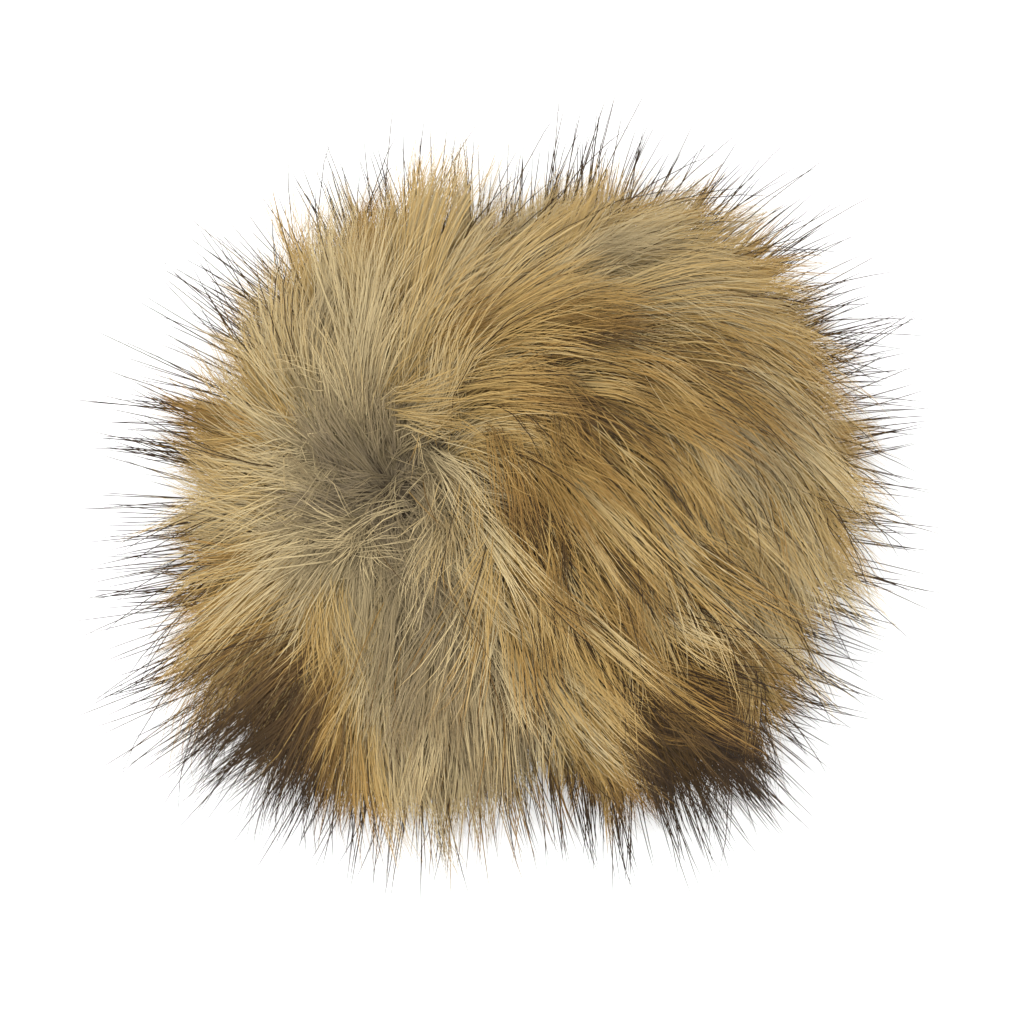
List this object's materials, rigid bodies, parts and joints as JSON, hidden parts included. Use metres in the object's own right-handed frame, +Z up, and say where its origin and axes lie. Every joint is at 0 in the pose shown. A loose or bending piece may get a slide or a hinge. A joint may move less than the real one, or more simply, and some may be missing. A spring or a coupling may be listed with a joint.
{
  "type": "faux fur pom pom",
  "caption": "Round soft faux fur pom pom with long pile combed away from an off-centre whorl, lying on its gathered back.",
  "frame": {"origin": "middle of the flat spot under the pom pom, where it rests and is sewn on", "axes": "+Z up out of the crown, +X towards the right of the picture and the side the pile is combed to, +Y towards its top"},
  "size_m": [0.1448, 0.1322, 0.0859],
  "materials": {
    "fur": "long faux fur pile, grey-taupe at the roots, fawn and ochre along the hairs, dark brown at the tips"
  },
  "bodies": {
    "root": {"pom_pom": "fur"}
  },
  "joints": []
}
